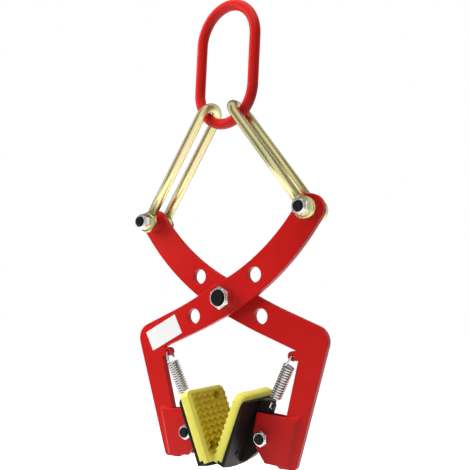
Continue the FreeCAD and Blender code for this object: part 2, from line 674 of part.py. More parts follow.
def make_jaw(name):
    side = -ARMS[name]["reach_side"]
    label = SIDE_NAMES[side]
    place = jaw_place(name)
    pad_back = -(size("grip_reach") - size("pad_thickness"))
    plate_back = pad_back + size("jaw_plate_thickness")
    pad_foot = -size("pad_below")
    lip_foot = pad_foot - size("jaw_plate_thickness")
    pad_top = size("pad_above")
    plate_top = pad_top - size("jaw_plate_inset")
    lip_front = pad_back - size("lip_length")

    # Backing plate, with a bowed lower edge
    plate = [Vector(plate_back, 0, lip_foot), Vector(plate_back, 0, plate_top), Vector(pad_back, 0, plate_top),
             Vector(pad_back, 0, pad_foot), Vector(lip_front, 0, pad_foot), Vector(lip_front, 0, lip_foot)]
    body = new_body(f"JawPlate_{label}")
    sketch = new_sketch(body, f"jaw_plate_{label}_outline", "XZ_Plane",
                        closed_polygon([flat(point) for point in mirrored(plate, side)]))
    bent = new_pad(body, f"jaw_plate_{label}_bent", sketch, "Sizes.pad_width", symmetric=True)
    doc.recompute()
    corners = upper_corners(bent.Shape, size("jaw_plate_thickness"))
    round_edges(body, f"jaw_plate_{label}_rounds", bent, corners, "Sizes.jaw_plate_round")
    half_width = size("pad_width") / 2
    ends = [Vector(-half_width, lip_foot, 0), Vector(half_width, lip_foot, 0)]
    lowest = Vector(0, lip_foot - size("jaw_plate_bow"), 0)
    bow = [Part.LineSegment(ends[1], ends[0]), Part.Arc(ends[0], lowest, ends[1])]
    bow_sketch = new_sketch(body, f"jaw_plate_{label}_bow_outline", "YZ_Plane", bow, side * pad_back)
    new_pad(body, f"jaw_plate_{label}_bow", bow_sketch, "Sizes.jaw_plate_thickness", backwards=side < 0)
    screw_hole = "Sizes.pad_screw + 2 * Sizes.seat_fit"
    screws = [Vector(size("pad_screw_aside"), size("pad_screw_above"), 0),
              Vector(-size("pad_screw_aside"), -size("pad_screw_below"), 0)]
    hole_sketch = new_sketch(body, f"jaw_plate_{label}_holes", "YZ_Plane", [])
    for centre in screws:
        add_hole(hole_sketch, centre, screw_hole)
    holes = body.newObject("PartDesign::Pocket", f"jaw_plate_{label}_drilled")
    holes.Profile = hole_sketch
    holes.Type = "ThroughAll"
    holes.Midplane = True
    body.Tip = holes
    keep(body, f"jaw_plate_{label}", place)

    # Web, welded on the back of the plate
    foot = size("web_foot")
    tail = size("web_tail")
    web = [Vector(plate_back, 0, plate_top), Vector(plate_back, 0, lip_foot)]
    web += [Vector(plate_back * across, 0, pad_top * up) for across, up in WEB_FOOT_SHARES]
    web += [Vector(0, 0, -foot), Vector(tail * TAIL_FOOT_SHARES[0], 0, foot * TAIL_FOOT_SHARES[1]),
            Vector(tail, 0, 0), Vector(tail, 0, size("web_tail_top"))]
    web += [Vector(plate_back * across, 0, size("web_peak") * up) for across, up in WEB_PEAK_SHARES]
    body = new_body(f"JawWeb_{label}")
    sketch = new_sketch(body, f"jaw_web_{label}_outline", "XZ_Plane",
                        closed_polygon([flat(point) for point in mirrored(web, side)]))
    add_hole(sketch, Vector(), "Sizes.jaw_bolt + 2 * Sizes.running_fit")
    hole = Vector(-side * size("jaw_hole_ahead"), size("jaw_hole_above"), 0)
    add_hole(sketch, hole, "Sizes.spring_hole")
    new_pad(body, f"jaw_web_{label}_plate", sketch, "Sizes.web_thickness", symmetric=True)
    keep(body, f"jaw_web_{label}", place)

    # Pad with zigzag ribs, its nose reaching down in front of the lip
    face = -(size("grip_reach") - size("rib_height"))
    nose_foot = pad_foot - size("pad_nose")
    pad = [Vector(pad_back, 0, pad_foot), Vector(pad_back, 0, pad_top), Vector(face, 0, pad_top),
           Vector(face, 0, nose_foot), Vector(lip_front, 0, nose_foot), Vector(lip_front, 0, pad_foot)]
    body = new_body(f"GripPad_{label}")
    sketch = new_sketch(body, f"grip_pad_{label}_outline", "XZ_Plane",
                        closed_polygon([flat(point) for point in mirrored(pad, side)]))
    block = new_pad(body, f"grip_pad_{label}_block", sketch, "Sizes.pad_width", symmetric=True)
    doc.recompute()
    corners = upper_corners(block.Shape, size("pad_thickness") - size("rib_height"))
    round_edges(body, f"grip_pad_{label}_rounds", block, corners, "Sizes.pad_round")
    rib_sketch = new_sketch(body, f"grip_pad_{label}_rib_rows", "YZ_Plane", rib_rows(side), side * face)
    new_pad(body, f"grip_pad_{label}_ribs", rib_sketch, "Sizes.rib_height", backwards=side > 0)
    hole_sketch = new_sketch(body, f"grip_pad_{label}_holes", "YZ_Plane", [])
    for centre in screws:
        add_hole(hole_sketch, centre, "Sizes.pad_screw_head + 2 * Sizes.side_gap")
    holes = body.newObject("PartDesign::Pocket", f"grip_pad_{label}_drilled")
    holes.Profile = hole_sketch
    holes.Type = "ThroughAll"
    holes.Midplane = True
    body.Tip = holes
    keep(body, f"grip_pad_{label}", place)

    # Screws through the pad into the plate
    solids = []
    for number, centre in enumerate(screws, start=1):
        head = cylinder(f"pad_screw_{label}_{number}_head", "Sizes.pad_screw_head / 2",
                        "Sizes.pad_screw_head_height")
        shank_length = "Sizes.jaw_plate_thickness - Sizes.pad_screw_sink"
        shank = cylinder(f"pad_screw_{label}_{number}_shank", "Sizes.pad_screw / 2",
                         f"Sizes.pad_screw_head_height + {shank_length}")
        screw = fuse(f"pad_screw_{label}_{number}", [head, shank])
        back = Rotation(Vector(0, 1, 0), side * 90)
        seat = side * (pad_back - size("pad_screw_head_height"))
        screw.Placement = Placement(Vector(seat, centre.x, centre.y), back)
        solids.append(screw)
    keep(fuse(f"pad_screws_{label}_pair", solids), f"pad_screws_{label}", place)


# Zigzag ribs: rows of bands across the pad, in shares of the row pitch
# Both pads are one moulding, so its plain border lies near on the left and far on the right.
RIB_WIDTH_SHARE = 0.42
RIB_WAVE_SHARE = 0.36


def rib_rows(side):
    """Closed zigzag bands in a sketch of the pad's face."""
    rows = round(size("rib_rows"))
    steps = 2 * round(size("rib_waves"))
    pitch = size("rib_zone") / rows
    near_gap, far_gap = size("rib_margin"), size("rib_border")
    if side < 0:
        near_gap, far_gap = far_gap, near_gap
    first = -size("pad_width") / 2 + near_gap
    step = (size("pad_width") - near_gap - far_gap) / steps
    half = RIB_WIDTH_SHARE * pitch / 2
    wave = RIB_WAVE_SHARE * pitch / 2
    segments = []
    for row in range(rows):
        level = (row + 0.5) * pitch - size("rib_zone") / 2
        lower = []
        upper = []
        for index in range(steps + 1):
            across = first + index * step
            shift = wave if index % 2 else -wave
            lower.append(Vector(across, level + shift - half, 0))
            upper.append(Vector(across, level + shift + half, 0))
        segments += closed_polygon(lower + upper[::-1])
    return segments


# Springs: one wire each, close wound between two full hooks
def leaving_arc(start, tangent, end):
    """The arc that leaves a point along a tangent and ends at another point."""
    chord = end - start
    bulge = tangent - chord * (tangent.dot(chord) / chord.dot(chord))
    sagitta = chord.Length / 2 * math.tan(tangent.getAngle(chord) / 2)
    return Part.Arc(start, (start + end) * 0.5 + bulge.normalize() * sagitta, end).toShape()


def biarc(start, end):
    """Two tangent arcs between two stations, each a point and a direction."""
    (p, t), (q, s) = start, end
    v = q - p
    w = t + s
    quarter = 2 * (1 - t.dot(s))
    reach = (-v.dot(w) + math.sqrt(v.dot(w) ** 2 + quarter * v.dot(v))) / quarter
    first = p + t * reach
    second = q - s * reach
    middle = (first + second) * 0.5
    return [leaving_arc(p, t, middle), leaving_arc(middle, (second - first).normalize(), q)]


HOOK_END_ANGLE = 200
LEAVE_ANGLE = 45


def spring_stations(length):
    """Stations of the upper half of a spring's wire, from the middle of the coil to the hook's end."""
    radius = size("spring_radius")
    hook = size("hook_radius")
    half_coil = length / 2 - hook - size("hook_rise")
    sweep = math.pi * round(size("spring_turns")) + math.radians(LEAVE_ANGLE)
    rise = half_coil / sweep
    count = round(sweep / (math.pi / 2) + 0.5)
    stations = []
    for index in range(count + 1):
        angle = sweep * index / count
        point = Vector(radius * math.cos(angle), radius * math.sin(angle), rise * angle)
        along = Vector(-radius * math.sin(angle), radius * math.cos(angle), rise).normalize()
        stations.append((point, along))
    # The hook starts at the side where the coil leaves, and ends beyond its far side.
    centre = half_coil + size("hook_rise")
    start_side = 1 if stations[-1][0].y > 0 else -1
    for degrees in (0, 90, 180, HOOK_END_ANGLE):
        angle = math.radians(degrees)
        point = Vector(0, start_side * hook * math.cos(angle), centre + hook * math.sin(angle))
        along = Vector(0, -start_side * math.sin(angle), math.cos(angle))
        stations.append((point, along))
    return stations


def make_spring(name):
    side = -ARMS[name]["reach_side"]
    label = SIDE_NAMES[side]
    eye = Vector(side * size("spring_eye_offset"), 0, -size("spring_eye_drop"))
    eye = world(eye, ARMS[name]["y"])
    hole = Vector(-side * size("jaw_hole_ahead"), 0, size("jaw_hole_above"))
    hole = jaw_place(name).multVec(hole)
    length = (eye - hole).Length + 2 * size("hook_bite")
    upper = spring_stations(length)
    lower = [(Vector(p.x, -p.y, -p.z), Vector(-t.x, t.y, t.z)) for p, t in upper[:0:-1]]
    stations = lower + upper
    wire_diameter = size("spring_wire")
    first, last = stations[0], stations[-1]
    edges = [Part.makeLine(first[0] - first[1] * wire_diameter, first[0])]
    for start, end in zip(stations, stations[1:]):
        edges += biarc(start, end)
    edges.append(Part.makeLine(last[0], last[0] + last[1] * wire_diameter))
    path = Part.Wire(edges)
    section = Part.Wire(Part.makeCircle(wire_diameter / 2, first[0] - first[1] * wire_diameter, first[1]))
    shell = Part.BRepOffsetAPI.MakePipeShell(path)
    shell.add(section)
    shell.build()
    shell.makeSolid()
    tube = shell.shape()

    # The least gap of the wire to itself, on points along its path
    points = path.discretize(Distance=wire_diameter / 4)
    skip = round(math.pi * 4)
    gaps = [(points[i] - points[j]).Length for i in range(len(points)) for j in range(i + skip, len(points))]
    print(f"spring_{label}: least gap {min(gaps) - wire_diameter:.2f} mm,"
          f" volume over section times length {tube.Volume / (path.Length * section_area(wire_diameter)):.4f}")

    spring = add("Part::Feature", f"Spring_{label}")
    spring.Shape = tube
    upward = (eye - hole).normalize()
    lean = math.degrees(math.atan2(upward.x, upward.z))
    keep(spring, f"spring_{label}", Placement((eye + hole) * 0.5, Rotation(Vector(0, 1, 0), lean)))


def section_area(diameter):
    return math.pi * diameter ** 2 / 4


make_master_link()
for rod_side in (1, -1):
    make_lifting_rod(rod_side)
for arm_name in ARMS:
    make_arm(arm_name)
make_label()
make_pivot()
for arm_name in ARMS:
    make_fork(arm_name)
    make_jaw(arm_name)
    make_spring(arm_name)
doc.recompute()

# Checks before anything is written
for obj in doc.Objects:
    if "Invalid" in obj.State or "Error" in obj.State:
        raise RuntimeError(f"{obj.Label} failed: {obj.State}")
for node in NODES:
    if node.Shape.isNull() or not node.Shape.isValid() or not node.Shape.Solids:
        raise RuntimeError(f"{node.Label} has no valid solid")
os.makedirs("parts", exist_ok=True)
for node in NODES:
    node.Shape.exportStep(f"parts/{node.Label}.step")
print(f"{len(NODES)} sub-parts, hook point to pivot {hook_point.z:.1f} mm")
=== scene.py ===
import json
import math

import bmesh
import bpy
from mathutils import Matrix, Vector


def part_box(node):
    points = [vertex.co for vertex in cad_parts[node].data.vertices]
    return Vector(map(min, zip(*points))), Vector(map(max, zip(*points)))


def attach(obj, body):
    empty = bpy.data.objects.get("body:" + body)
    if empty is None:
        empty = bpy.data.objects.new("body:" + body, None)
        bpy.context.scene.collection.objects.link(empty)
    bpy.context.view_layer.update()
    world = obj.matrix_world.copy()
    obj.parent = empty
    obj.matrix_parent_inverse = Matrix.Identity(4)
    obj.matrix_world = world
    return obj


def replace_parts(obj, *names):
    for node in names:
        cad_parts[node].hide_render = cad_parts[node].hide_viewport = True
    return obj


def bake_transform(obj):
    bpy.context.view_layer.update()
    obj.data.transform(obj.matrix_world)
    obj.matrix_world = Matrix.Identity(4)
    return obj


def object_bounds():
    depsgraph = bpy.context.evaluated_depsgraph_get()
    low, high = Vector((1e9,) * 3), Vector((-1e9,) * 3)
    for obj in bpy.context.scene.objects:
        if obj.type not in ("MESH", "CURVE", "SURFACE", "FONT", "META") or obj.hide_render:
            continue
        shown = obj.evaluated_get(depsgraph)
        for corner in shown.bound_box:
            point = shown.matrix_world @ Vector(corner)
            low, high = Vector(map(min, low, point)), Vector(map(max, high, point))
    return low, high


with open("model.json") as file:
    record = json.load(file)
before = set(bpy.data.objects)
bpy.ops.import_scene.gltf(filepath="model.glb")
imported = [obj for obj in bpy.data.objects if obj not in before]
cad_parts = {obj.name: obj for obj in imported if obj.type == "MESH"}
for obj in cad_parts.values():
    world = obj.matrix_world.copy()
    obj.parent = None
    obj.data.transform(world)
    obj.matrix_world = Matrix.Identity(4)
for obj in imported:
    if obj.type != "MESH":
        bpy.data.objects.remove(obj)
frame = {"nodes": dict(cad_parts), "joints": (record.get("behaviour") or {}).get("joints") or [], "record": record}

cad_low, cad_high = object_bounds()

# Master link: one round bar bent to an oblong, welded, and painted red like the arms.
# The paint is a powder coat with a faint orange peel and a soft gloss.
MM = 0.001
PAINT_RED = (0.61, 0.011, 0.009)
PAINT_RED_DEEP = (0.55, 0.009, 0.008)


def new_finish(name, roughness, metallic=0.0, gloss=0.5):
    """A node material whose even values sit on the shader's own sockets."""
    material = bpy.data.materials.new(name)
    material.use_nodes = True
    tree = material.node_tree
    shader = tree.nodes["Principled BSDF"]
    shader.inputs["Roughness"].default_value = roughness
    shader.inputs["Metallic"].default_value = metallic
    shader.inputs["Specular IOR Level"].default_value = gloss
    return material, tree, shader


def noise(tree, scale, detail=3.0, stretch=(1.0, 1.0, 1.0)):
    """Noise in the piece's own metres: a scale of 1000 makes grains of about a millimetre."""
    place = tree.nodes.new("ShaderNodeTexCoord")
    mapping = tree.nodes.new("ShaderNodeMapping")
    mapping.inputs["Scale"].default_value = stretch
    texture = tree.nodes.new("ShaderNodeTexNoise")
    texture.inputs["Scale"].default_value = scale
    texture.inputs["Detail"].default_value = detail
    tree.links.new(place.outputs["Object"], mapping.inputs["Vector"])
    tree.links.new(mapping.outputs["Vector"], texture.inputs["Vector"])
    return texture.outputs["Fac"]


def tint(tree, shader, value, *colours):
    """Base colour that drifts through a few shades along a noise value."""
    ramp = tree.nodes.new("ShaderNodeValToRGB")
    low, high, halfway = 0.32, 0.68, 0.5
    stops = ramp.color_ramp.elements
    while len(stops) < len(colours):
        stops.new(halfway)
    for index, colour in enumerate(colours):
        stops[index].position = low + (high - low) * index / (len(colours) - 1)
        stops[index].color = (*colour, 1.0)
    tree.links.new(value, ramp.inputs["Fac"])
    tree.links.new(ramp.outputs["Color"], shader.inputs["Base Color"])


def patchy_gloss(tree, shader, value, low, high):
    """Roughness that varies between two values along a noise value."""
    spread = tree.nodes.new("ShaderNodeMapRange")
    spread.inputs["To Min"].default_value = low
    spread.inputs["To Max"].default_value = high
    tree.links.new(value, spread.inputs["Value"])
    tree.links.new(spread.outputs["Result"], shader.inputs["Roughness"])


def relief(tree, shader, value, height, strength=1.0):
    """Fine relief of a given height in metres along a noise value."""
    bump = tree.nodes.new("ShaderNodeBump")
    bump.inputs["Strength"].default_value = strength
    bump.inputs["Distance"].default_value = height
    tree.links.new(value, bump.inputs["Height"])
    tree.links.new(bump.outputs["Normal"], shader.inputs["Normal"])


def red_powder_coat():
    peel_scale, gloss_scale, cloud_scale, peel_height = 420.0, 52.5, 14.0, 0.05 * MM
    material, tree, shader = new_finish("red_powder_coat", 0.36, gloss=0.22)
    tint(tree, shader, noise(tree, cloud_scale), PAINT_RED_DEEP, PAINT_RED)
    patchy_gloss(tree, shader, noise(tree, gloss_scale), 0.30, 0.42)
    relief(tree, shader, noise(tree, peel_scale, 2.0), peel_height, 0.35)
    return material


RED_PAINT = red_powder_coat()


def coat(node, material):
    """Give a CAD node that keeps its own shape its finish."""
    mesh = frame["nodes"][node].data
    mesh.materials.clear()
    mesh.materials.append(material)


coat("master_link", RED_PAINT)


# Lifting rods: each a drawn bar bent to a U over the link, with an eye welded on each end.
# They are plated in yellow zinc, which drifts to green and to pink from place to place.
ZINC_STRAW = (0.72, 0.65, 0.34)
ZINC_GREEN = (0.64, 0.61, 0.31)
ZINC_PINK = (0.74, 0.62, 0.36)
ROD_RADIUS = 6.0 * MM
EYE_RADIUS = 12.5 * MM
EYE_BORE = 5.02 * MM
EYE_WIDTH = 7.0 * MM
ROD_REACH = 164.1 * MM
ROD_SPREAD = 31.5 * MM
BEAD_RADIUS = 1.3 * MM
SHARP_TURN = math.radians(40)
BODIES = frame["record"]["behaviour"]["bodies"]
BODY_OF = {node: body for body, nodes in BODIES.items() for node in nodes}
JOINT_AT = {joint["name"]: Vector(joint["pos_m"]) for joint in frame["joints"]}
SIDES = {"right": 1, "left": -1}


def yellow_zinc():
    drift_scale, gloss_scale = 22.0, 60.0
    material, tree, shader = new_finish("yellow_zinc", 0.32, metallic=1.0)
    tint(tree, shader, noise(tree, drift_scale, 2.0), ZINC_GREEN, ZINC_STRAW, ZINC_PINK)
    patchy_gloss(tree, shader, noise(tree, gloss_scale, 2.0), 0.28, 0.36)
    return material


YELLOW_ZINC = yellow_zinc()


def place_piece(name, bm, material, body):
    """Turn a finished bmesh into a shaded piece that rides on a body."""
    bmesh.ops.recalc_face_normals(bm, faces=bm.faces)
    mesh = bpy.data.meshes.new(name)
    bm.to_mesh(mesh)
    bm.free()
    for leftover in ("custom_normal", "sharp_edge", "sharp_face"):
        if leftover in mesh.attributes:
            mesh.attributes.remove(mesh.attributes[leftover])
    mesh.shade_smooth()
    mesh.materials.clear()
    mesh.materials.append(material)
    piece = bpy.data.objects.new(name, mesh)
    bpy.context.scene.collection.objects.link(piece)
    if body:
        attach(piece, body)
    return piece


def softened(node, material, edge):
    """The piece of a node with its sharp edges broken, as tumbling, plating or paint leaves them."""
    merge_gap = 0.002 * MM
    flat_angle, sharp_angle = math.radians(0.4), math.radians(34)
    bm = bmesh.new()
    bm.from_mesh(frame["nodes"][node].data)
    bmesh.ops.remove_doubles(bm, verts=bm.verts, dist=merge_gap)
    bmesh.ops.dissolve_limit(bm, angle_limit=flat_angle, verts=bm.verts, edges=bm.edges)
    piece = place_piece(node + "_finished", bm, material, BODY_OF[node])
    bevel = piece.modifiers.new("broken_edges", "BEVEL")
    bevel.width = edge
    bevel.segments = 3
    bevel.limit_method = "ANGLE"
    bevel.angle_limit = sharp_angle
    bevel.use_clamp_overlap = False
    bevel.harden_normals = True
    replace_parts(piece, node)
    return piece


def join_rings(bm, rings):
    """Faces between rings of vertices that run the same way round."""
    for near, far in zip(rings, rings[1:]):
        for index in range(len(near)):
            after = (index + 1) % len(near)
            bm.faces.new((near[index], near[after], far[after], far[index]))


def weld_bead(name, path, radius, material, body):
    """A weld bead round a closed path, with the ripples of the passes."""
    sides, ripple_share, ripple_pitch = 10, 0.16, 3
    bm = bmesh.new()
    rings = []
    for index, point in enumerate(path):
        along = (path[(index + 1) % len(path)] - path[index - 1]).normalized()
        side = along.orthogonal() if not rings else along.cross(up).normalized()
        up = side.cross(along).normalized()
        swell = 1.0 - ripple_share * abs(math.sin(math.pi * index / ripple_pitch))
        ring = []
        for step in range(sides):
            turn = 2 * math.pi * step / sides
            offset = side * math.cos(turn) + up * math.sin(turn)
            ring.append(bm.verts.new(point + offset * radius * swell))
        rings.append(ring)
    join_rings(bm, rings + rings[:1])
    return place_piece(name, bm, material, body)


def rod_frame(side_name):
    """A rod's own axes: origin on its top bolt, +Z along the rod to the link."""
    eye = JOINT_AT["front_arm_turn" if side_name == "right" else "rod_left_turn"]
    low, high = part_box(f"lifting_rod_{side_name}")
    tip_z = high.z - ROD_RADIUS
    tip_x = low.x + ROD_RADIUS if side_name == "right" else high.x - ROD_RADIUS
    lean = math.atan2(tip_x - eye.x, tip_z - eye.z)
    return Matrix.Translation(eye) @ Matrix.Rotation(lean, 4, "Y")


def wire_mesh(path, radius, sides=12):
    """A round wire along a path, closed at both ends."""
    bm = bmesh.new()
    rings = []
    across = None
    for index, point in enumerate(path):
        along = (path[min(index + 1, len(path) - 1)] - path[max(index - 1, 0)]).normalized()
        across = along.orthogonal() if across is None else across - along * across.dot(along)
        across.normalize()
        up = along.cross(across)
        ring = []
        for step in range(sides):
            turn = 2 * math.pi * step / sides
            ring.append(bm.verts.new(point + (across * math.cos(turn) + up * math.sin(turn)) * radius))
        rings.append(ring)
    join_rings(bm, rings)
    bm.faces.new(rings[0])
    bm.faces.new(rings[-1])
    return bm


def eye_mesh(middle):
    """A turned eye on an axis along Y, with its edges broken."""
    sides, half, edge, edge_share = 72, EYE_WIDTH / 2, 0.8 * MM, 0.3
    profile = ((EYE_BORE, -half + edge), (EYE_BORE + edge, -half), (EYE_RADIUS - edge, -half),
               (EYE_RADIUS - edge_share * edge, -half + edge_share * edge), (EYE_RADIUS, -half + edge))
    profile += tuple((radius, -y) for radius, y in reversed(profile))
    bm = bmesh.new()
    rings = []
    for step in range(sides):
        turn = 2 * math.pi * step / sides
        across = Vector((math.cos(turn), 0, math.sin(turn)))
        points = [middle + across * radius + Vector((0, y, 0)) for radius, y in profile]
        rings.append([bm.verts.new(point) for point in points])
    join_rings(bm, rings + rings[:1])
    return bm


def bent_bar():
    """The middle line of a rod's bar: up from the near eye, round the bight and down to the far eye."""
    bend_steps, half, foot_share = 40, ROD_SPREAD / 2, 0.85
    foot, bend = foot_share * EYE_RADIUS, ROD_REACH - half
    path = [Vector((0, -half, foot)), Vector((0, -half, (foot + bend) / 2))]
    for step in range(bend_steps + 1):
        turn = math.pi * step / bend_steps
        path.append(Vector((0, -half * math.cos(turn), bend + half * math.sin(turn))))
    return path + [Vector((0, half, (foot + bend) / 2)), Vector((0, half, foot))]


for side_name in SIDES:
    node = f"lifting_rod_{side_name}"
    own_axes = rod_frame(side_name)
    bar_sides, saddle_steps, saddle_sink_share = 48, 48, 0.2
    bar = wire_mesh([own_axes @ point for point in bent_bar()], ROD_RADIUS, bar_sides)
    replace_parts(place_piece(f"{node}_bar", bar, YELLOW_ZINC, BODY_OF[node]), node)
    for end_name, y in (("near", -ROD_SPREAD / 2), ("far", ROD_SPREAD / 2)):
        eye = eye_mesh(Vector((0, y, 0)))
        eye.transform(own_axes)
        ring = place_piece(f"rod_eye_{side_name}_{end_name}", eye, YELLOW_ZINC, BODY_OF[node])
        ring.data.set_sharp_from_angle(angle=SHARP_TURN)
        saddle = []
        for step in range(saddle_steps):
            turn = 2 * math.pi * step / saddle_steps
            across = ROD_RADIUS * math.cos(turn)
            height = math.sqrt(EYE_RADIUS ** 2 - across ** 2) - saddle_sink_share * BEAD_RADIUS
            saddle.append(own_axes @ Vector((across, y + ROD_RADIUS * math.sin(turn), height)))
        bead_name = f"rod_weld_{side_name}_{end_name}"
        weld_bead(bead_name, saddle, BEAD_RADIUS, YELLOW_ZINC, BODY_OF[node])


# Top bolts: black bolts through the eyes of the rods, with bright lock nuts on the viewer's side.
# Each nut holds a black nylon ring in its collar, and plain spacers keep the eyes off the arm.
ZINC_GREY = (0.70, 0.71, 0.73)
ZINC_BRIGHT = (0.86, 0.86, 0.85)
OXIDE_BLACK = (0.006, 0.006, 0.007)
OXIDE_WORN = (0.014, 0.013, 0.013)
NYLON_BLACK = (0.006, 0.006, 0.007)
NYLON_PALE = (0.011, 0.011, 0.012)
TOP_BOLT_EDGE = 0.6 * MM
SPACER_EDGE = 0.4 * MM


def bright_zinc():
    cloud_scale, gloss_scale, grain_scale, grain_height = 300.0, 700.0, 1600.0, 0.01 * MM
    material, tree, shader = new_finish("bright_zinc", 0.2, metallic=1.0)
    tint(tree, shader, noise(tree, cloud_scale), ZINC_GREY, ZINC_BRIGHT)
    patchy_gloss(tree, shader, noise(tree, gloss_scale), 0.14, 0.28)
    relief(tree, shader, noise(tree, grain_scale, 2.0), grain_height, 0.3)
    return material


def black_oxide():
    cloud_scale, gloss_scale, grain_scale, grain_height = 500.0, 900.0, 1800.0, 0.02 * MM
    material, tree, shader = new_finish("black_oxide", 0.46, gloss=0.16)
    tint(tree, shader, noise(tree, cloud_scale), OXIDE_BLACK, OXIDE_WORN)
    patchy_gloss(tree, shader, noise(tree, gloss_scale), 0.34, 0.5)
    relief(tree, shader, noise(tree, grain_scale, 2.0), grain_height, 0.4)
    return material


def black_nylon():
    cloud_scale, grain_scale, grain_height = 700.0, 2400.0, 0.02 * MM
    material, tree, shader = new_finish("black_nylon", 0.5, gloss=0.14)
    tint(tree, shader, noise(tree, cloud_scale), NYLON_BLACK, NYLON_PALE)
    relief(tree, shader, noise(tree, grain_scale, 2.0), grain_height, 0.3)
    return material


BRIGHT_ZINC = bright_zinc()
BLACK_OXIDE = black_oxide()
BLACK_NYLON = black_nylon()
for side_name in SIDES:
    softened(f"top_nut_{side_name}", BRIGHT_ZINC, TOP_BOLT_EDGE)
    softened(f"top_bolt_{side_name}", BLACK_OXIDE, TOP_BOLT_EDGE)
    softened(f"rod_spacers_{side_name}", BRIGHT_ZINC, SPACER_EDGE)
    coat(f"top_nut_insert_{side_name}", BLACK_NYLON)


# Arms: two plates cut to a curve, painted red, with spare holes and a small eye for the spring.
# The CAD plates carry the rounded edges, so they keep their own shape.
for arm_name in ("front", "back"):
    coat(f"arm_{arm_name}", RED_PAINT)


# Label: a blank white film stuck on the shoulder of the front arm.
# It is smooth plastic, a little wavy where it was pressed on by hand.
FILM_SHADE = (0.90, 0.90, 0.89)
FILM_WHITE = (0.94, 0.94, 0.94)
FILM_EDGE = 0.1 * MM


def white_film():
    cloud_scale, wave_scale, wave_height = 60.0, 500.0, 0.02 * MM
    material, tree, shader = new_finish("white_film", 0.34, gloss=0.45)
    tint(tree, shader, noise(tree, cloud_scale), FILM_SHADE, FILM_WHITE)
    relief(tree, shader, noise(tree, wave_scale, 2.0), wave_height, 0.2)
    return material


softened("label_plate", white_film(), FILM_EDGE)


# Centre pivot: a black bolt in a bronze bush, with a bright lock nut towards the viewer.
# A thin washer keeps the painted arms apart, and a thicker one lies under the bolt's head.
BRONZE_DARK = (0.42, 0.27, 0.12)
BRONZE_BRIGHT = (0.56, 0.38, 0.19)
PIVOT_EDGE = 0.7 * MM
WASHER_EDGE = 0.4 * MM


def bearing_bronze():
    cloud_scale, grain_scale, grain_height = 240.0, 1200.0, 0.02 * MM
    material, tree, shader = new_finish("bearing_bronze", 0.35, metallic=1.0)
    tint(tree, shader, noise(tree, cloud_scale), BRONZE_DARK, BRONZE_BRIGHT)
    relief(tree, shader, noise(tree, grain_scale, 2.0), grain_height, 0.3)
    return material


softened("pivot_nut", BRIGHT_ZINC, PIVOT_EDGE)
softened("pivot_bolt", BLACK_OXIDE, PIVOT_EDGE)
softened("pivot_rear_washer", BRIGHT_ZINC, WASHER_EDGE)
coat("pivot_nut_insert", BLACK_NYLON)
coat("pivot_middle_washer", BRIGHT_ZINC)
coat("pivot_bush", bearing_bronze())


# Fork plates: welded on both faces of each leg to carry the jaw, and painted with the arm.
# The weld along the outer edge and round the upper corner is ground to a soft ramp under the paint.
# Jaw bolts: black bolts with bright lock nuts through the fork and the jaw's web.
FORK_THICKNESS = 4.0 * MM
FORK_FOOT = Vector((30.86, 0, -29.4)) * MM
FORK_TOP = Vector((43.26, 0, 22.68)) * MM
FORK_TOP_INNER = Vector((-8.45, 0, 27.0)) * MM
RAMP_REACH = 3.2 * MM
RAMP_OVERLAP = 3.5 * MM
RAMP_TOP_RUN = 13.0 * MM
LEG_HALF = 4.0 * MM
FORK_EDGE = 0.8 * MM
JAW_BOLT_EDGE = 0.5 * MM


def weld_ramp(side, face_y, out_y):
    """The ground weld beside a fork plate, from its face down to the leg's face."""
    edge_steps, corner_steps, top_steps, slope_steps = 12, 10, 8, 14
    sunk = 0.05 * MM
    end_share, top_overlap_share = 0.25, 0.26
    edge = (FORK_TOP - FORK_FOOT).normalized()
    along_top = (FORK_TOP_INNER - FORK_TOP).normalized()
    edge_out = Vector((edge.z, 0, -edge.x))
    top_out = Vector((along_top.z, 0, -along_top.x))
    stations = []
    for step in range(edge_steps + 1):
        place = FORK_FOOT.lerp(FORK_TOP, step / edge_steps)
        stations.append((place, edge_out, RAMP_OVERLAP, RAMP_REACH))
    for step in range(1, corner_steps + 1):
        share = step / corner_steps
        overlap = RAMP_OVERLAP * (1 - (1 - top_overlap_share) * share)
        stations.append((FORK_TOP, edge_out.slerp(top_out, share), overlap, RAMP_REACH))
    for step in range(1, top_steps + 1):
        share = step / top_steps
        reach = RAMP_REACH * (1 - (1 - end_share) * share ** 2)
        stations.append((FORK_TOP + along_top * RAMP_TOP_RUN * share, top_out,
                         RAMP_OVERLAP * top_overlap_share, reach))
    bm = bmesh.new()
    rings = []
    for place, out, overlap, reach in stations:
        ring = []
        for step in range(slope_steps + 1):
            share = step / slope_steps
            height = FORK_THICKNESS * (1 - share * share * (3 - 2 * share)) - sunk * share
            point = place + out * ((overlap + reach) * share - overlap)
            ring.append(bm.verts.new((side * point.x, face_y + out_y * height, point.z)))
        point = place - out * overlap
        ring.append(bm.verts.new((side * point.x, face_y - out_y * sunk, point.z)))
        rings.append(ring)
    join_rings(bm, rings)
    bm.faces.new(rings[0])
    bm.faces.new(rings[-1])
    return bm


